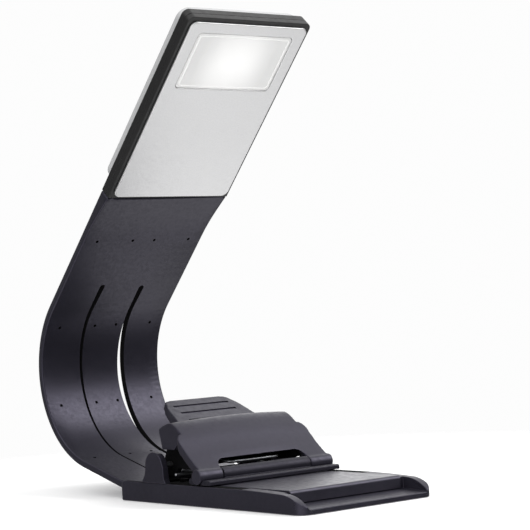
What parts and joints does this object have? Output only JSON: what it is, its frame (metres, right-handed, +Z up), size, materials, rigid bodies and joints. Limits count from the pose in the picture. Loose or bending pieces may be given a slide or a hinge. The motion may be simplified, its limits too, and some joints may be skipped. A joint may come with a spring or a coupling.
{
  "type": "clip-on reading lamp",
  "caption": "Flat light head on a bendable ribbon arm that rises from a low base with a spring clip for holding a book or shelf.",
  "frame": {"origin": "centre of the base's underside", "axes": "+Z up, -Y the front where the light falls and the clip opens, X across the lamp"},
  "size_m": [0.0684, 0.1735, 0.1936],
  "materials": {
    "charcoal_plastic": "fine satin moulded plastic",
    "ribbon_silicone": "smooth matte silicone",
    "grip_rubber": "matte rubber",
    "aluminium": "fine brushed, anodised silver",
    "button_metal": "polished edge, satin face",
    "diffuser": "translucent white light window",
    "white_plastic": "white reflector",
    "circuit_board": "solder mask",
    "led": "phosphor yellow",
    "battery_foil": "foil pouch",
    "switch_plastic": "black plastic",
    "steel": "bright spring steel"
  },
  "bodies": {
    "base": {"base_tray": "charcoal_plastic", "base_pad": "grip_rubber", "root_clamp": "steel", "root_screw_1": "steel", "root_screw_2": "steel", "clip_axle": "steel", "spring_left": "steel", "spring_right": "steel", "arm_root": "ribbon_silicone", "arm_core_root": "steel"},
    "jaw": {"jaw_shell": "charcoal_plastic", "thumb_lever": "charcoal_plastic", "spring_crossbar": "steel", "foot_pin": "steel"},
    "foot": {"foot_bar": "charcoal_plastic", "foot_grip": "grip_rubber"},
    "link_1": {"arm_link_1": "ribbon_silicone", "arm_core_link_1": "steel"},
    "link_2": {"arm_link_2": "ribbon_silicone", "arm_core_link_2": "steel"},
    "link_3": {"arm_link_3": "ribbon_silicone", "arm_core_link_3": "steel"},
    "link_4": {"arm_link_4": "ribbon_silicone", "arm_core_link_4": "steel"},
    "link_5": {"arm_link_5": "ribbon_silicone", "arm_core_link_5": "steel"},
    "link_6": {"arm_link_6": "ribbon_silicone", "arm_core_link_6": "steel"},
    "link_7": {"arm_link_7": "ribbon_silicone", "arm_core_link_7": "steel"},
    "link_8": {"arm_link_8": "ribbon_silicone", "arm_core_link_8": "steel"},
    "head": {"arm_top": "ribbon_silicone", "arm_core_top": "steel", "head_plate": "aluminium", "window_lens": "diffuser", "reflector_tray": "white_plastic", "led_board": "circuit_board", "led_1": "led", "led_2": "led", "led_3": "led", "led_4": "led", "led_5": "led", "led_6": "led", "head_frame_front": "charcoal_plastic", "head_frame_rear": "charcoal_plastic", "rear_housing": "aluminium", "button_ring": "button_metal", "tact_switch": "switch_plastic", "battery": "battery_foil", "control_board": "circuit_board", "board_screw_1": "steel", "board_screw_2": "steel", "usb_socket": "steel"},
    "button": {"button_cap": "button_metal"}
  },
  "joints": [
    {"name": "neck_bend", "type": "hinge", "parent": "base", "child": "link_1", "pos_m": [0, 0.09089, 0.01506], "axis": [1, 0, 0], "range_deg": [-16.8, 4]},
    {"name": "neck_bend_2", "type": "hinge", "parent": "link_1", "child": "link_2", "pos_m": [0, 0.10085, 0.02125], "axis": [1, 0, 0], "range_deg": [-16.8, 4]},
    {"name": "neck_bend_3", "type": "hinge", "parent": "link_2", "child": "link_3", "pos_m": [0, 0.10859, 0.03007], "axis": [1, 0, 0], "range_deg": [-16.8, 4]},
    {"name": "neck_bend_4", "type": "hinge", "parent": "link_3", "child": "link_4", "pos_m": [0, 0.11344, 0.04075], "axis": [1, 0, 0], "range_deg": [-16.8, 4]},
    {"name": "neck_bend_5", "type": "hinge", "parent": "link_4", "child": "link_5", "pos_m": [0, 0.11499, 0.05237], "axis": [1, 0, 0], "range_deg": [-16.8, 4]},
    {"name": "neck_bend_6", "type": "hinge", "parent": "link_5", "child": "link_6", "pos_m": [0, 0.1131, 0.06395], "axis": [1, 0, 0], "range_deg": [-16.8, 4]},
    {"name": "neck_bend_7", "type": "hinge", "parent": "link_6", "child": "link_7", "pos_m": [0, 0.10793, 0.07448], "axis": [1, 0, 0], "range_deg": [-16.8, 4]},
    {"name": "head_tilt", "type": "hinge", "parent": "link_7", "child": "link_8", "pos_m": [0, 0.08651, 0.09808], "axis": [1, 0, 0], "range_deg": [-17, 17]},
    {"name": "head_tilt_2", "type": "hinge", "parent": "link_8", "child": "head", "pos_m": [0, 0.07287, 0.1127], "axis": [1, 0, 0], "range_deg": [-17, 17]},
    {"name": "clip_open", "type": "hinge", "parent": "base", "child": "jaw", "pos_m": [0, 0.0328, 0.0145], "axis": [-1, 0, 0], "range_deg": [0, 30], "stiffness_Nm_per_rad": 0.3, "springref_deg": -28.65},
    {"name": "foot_level", "type": "hinge", "parent": "jaw", "child": "foot", "pos_m": [0, 0.0043, 0.0114], "axis": [-1, 0, 0], "range_deg": [-30, 0]},
    {"name": "button_press", "type": "slide", "parent": "head", "child": "button", "axis": [0, -0.7314, -0.682], "range_m": [0, 0.0004], "stiffness_N_per_m": 400, "springref_m": -0.0005}
  ],
  "couplings": [
    {"joint": "neck_bend_2", "follows": "neck_bend", "ratio": 1},
    {"joint": "neck_bend_3", "follows": "neck_bend", "ratio": 1},
    {"joint": "neck_bend_4", "follows": "neck_bend", "ratio": 1},
    {"joint": "neck_bend_5", "follows": "neck_bend", "ratio": 1},
    {"joint": "neck_bend_6", "follows": "neck_bend", "ratio": 1},
    {"joint": "neck_bend_7", "follows": "neck_bend", "ratio": 1},
    {"joint": "head_tilt_2", "follows": "head_tilt", "ratio": 1},
    {"joint": "foot_level", "follows": "clip_open", "ratio": -1}
  ]
}
